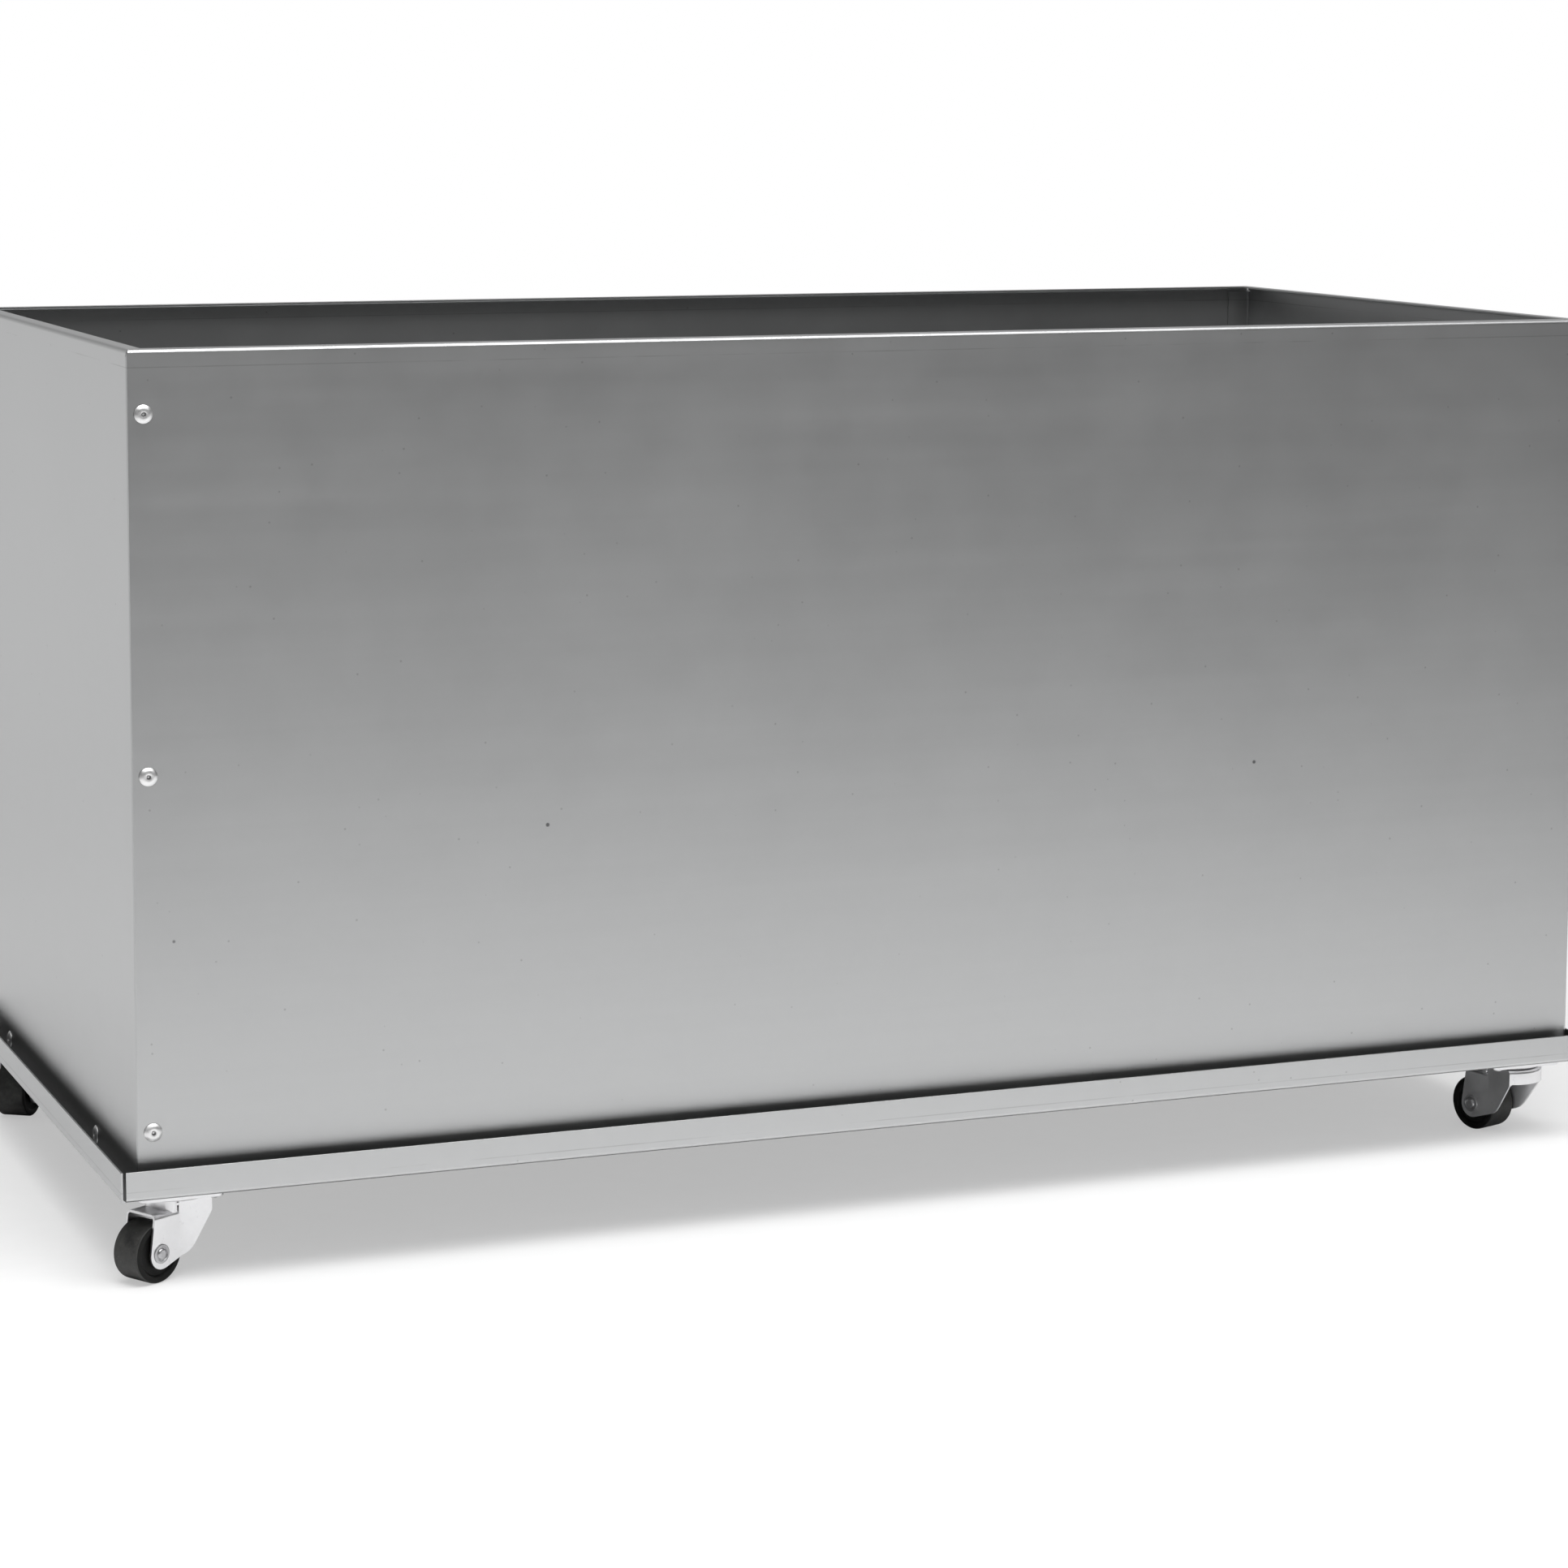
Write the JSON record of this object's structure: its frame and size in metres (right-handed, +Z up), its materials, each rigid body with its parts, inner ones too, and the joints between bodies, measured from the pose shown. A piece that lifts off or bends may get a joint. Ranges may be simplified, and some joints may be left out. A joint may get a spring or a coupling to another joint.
{
  "type": "rolling planter",
  "caption": "Rectangular galvanised sheet steel planter box, riveted at the corners, standing in a shallow lipped tray on swivel casters.",
  "frame": {"origin": "On the ground, under the middle of the tray, where the wheels stand.", "axes": "+X runs along the length of the planter, +Y from the front wall to the back wall, +Z up."},
  "size_m": [0.8244, 0.404, 0.4575],
  "materials": {
    "galvanised": "satin",
    "rivet": "satin",
    "zinc": "satin",
    "moulding": "matte"
  },
  "bodies": {
    "planter": {"base_tray": "galvanised", "front_and_right_sheet": "galvanised", "back_and_left_sheet": "galvanised", "floor_plate": "galvanised", "front_left_corner_rivet_1": "rivet", "front_left_corner_rivet_2": "rivet", "front_left_corner_rivet_3": "rivet", "front_left_floor_rivet": "rivet", "front_right_floor_rivet": "rivet", "back_left_floor_rivet": "rivet", "back_right_corner_rivet_1": "rivet", "back_right_corner_rivet_2": "rivet", "back_right_corner_rivet_3": "rivet", "back_right_floor_rivet": "rivet", "front_left_top_plate": "zinc", "front_left_end_plate_rivet": "rivet", "front_left_long_plate_rivet": "rivet", "front_left_kingpin": "zinc", "front_left_ball_row": "zinc", "front_right_top_plate": "zinc", "front_right_end_plate_rivet": "rivet", "front_right_long_plate_rivet": "rivet", "front_right_kingpin": "zinc", "front_right_ball_row": "zinc", "back_left_top_plate": "zinc", "back_left_end_plate_rivet": "rivet", "back_left_long_plate_rivet": "rivet", "back_left_kingpin": "zinc", "back_left_ball_row": "zinc", "back_right_top_plate": "zinc", "back_right_end_plate_rivet": "rivet", "back_right_long_plate_rivet": "rivet", "back_right_kingpin": "zinc", "back_right_ball_row": "zinc"},
    "front_left_swivel": {"front_left_fork": "zinc", "front_left_axle": "zinc"},
    "front_left_roller": {"front_left_wheel": "moulding"},
    "front_right_swivel": {"front_right_fork": "zinc", "front_right_axle": "zinc"},
    "front_right_roller": {"front_right_wheel": "moulding"},
    "back_left_swivel": {"back_left_fork": "zinc", "back_left_axle": "zinc"},
    "back_left_roller": {"back_left_wheel": "moulding"},
    "back_right_swivel": {"back_right_fork": "zinc", "back_right_axle": "zinc"},
    "back_right_roller": {"back_right_wheel": "moulding"}
  },
  "joints": [
    {"name": "front_left_caster_swivel", "type": "hinge", "parent": "planter", "child": "front_left_swivel", "pos_m": [-0.3805, -0.176, 0.0398], "axis": [0, 0, 1], "continuous": true},
    {"name": "front_left_wheel_spin", "type": "hinge", "parent": "front_left_swivel", "child": "front_left_roller", "pos_m": [-0.39565, -0.18475, 0.015], "axis": [0.5, -0.866, 0], "continuous": true},
    {"name": "front_right_caster_swivel", "type": "hinge", "parent": "planter", "child": "front_right_swivel", "pos_m": [0.3805, -0.176, 0.0398], "axis": [0, 0, 1], "continuous": true},
    {"name": "front_right_wheel_spin", "type": "hinge", "parent": "front_right_swivel", "child": "front_right_roller", "pos_m": [0.37509, -0.15936, 0.015], "axis": [-0.9511, -0.309, 0], "continuous": true},
    {"name": "back_left_caster_swivel", "type": "hinge", "parent": "planter", "child": "back_left_swivel", "pos_m": [-0.3805, 0.176, 0.0398], "axis": [0, 0, 1], "continuous": true},
    {"name": "back_left_wheel_spin", "type": "hinge", "parent": "back_left_swivel", "child": "back_left_roller", "pos_m": [-0.39029, 0.16149, 0.015], "axis": [0.829, -0.5592, 0], "continuous": true},
    {"name": "back_right_caster_swivel", "type": "hinge", "parent": "planter", "child": "back_right_swivel", "pos_m": [0.3805, 0.176, 0.0398], "axis": [0, 0, 1], "continuous": true},
    {"name": "back_right_wheel_spin", "type": "hinge", "parent": "back_right_swivel", "child": "back_right_roller", "pos_m": [0.36427, 0.16944, 0.015], "axis": [0.3746, -0.9272, 0], "continuous": true}
  ]
}
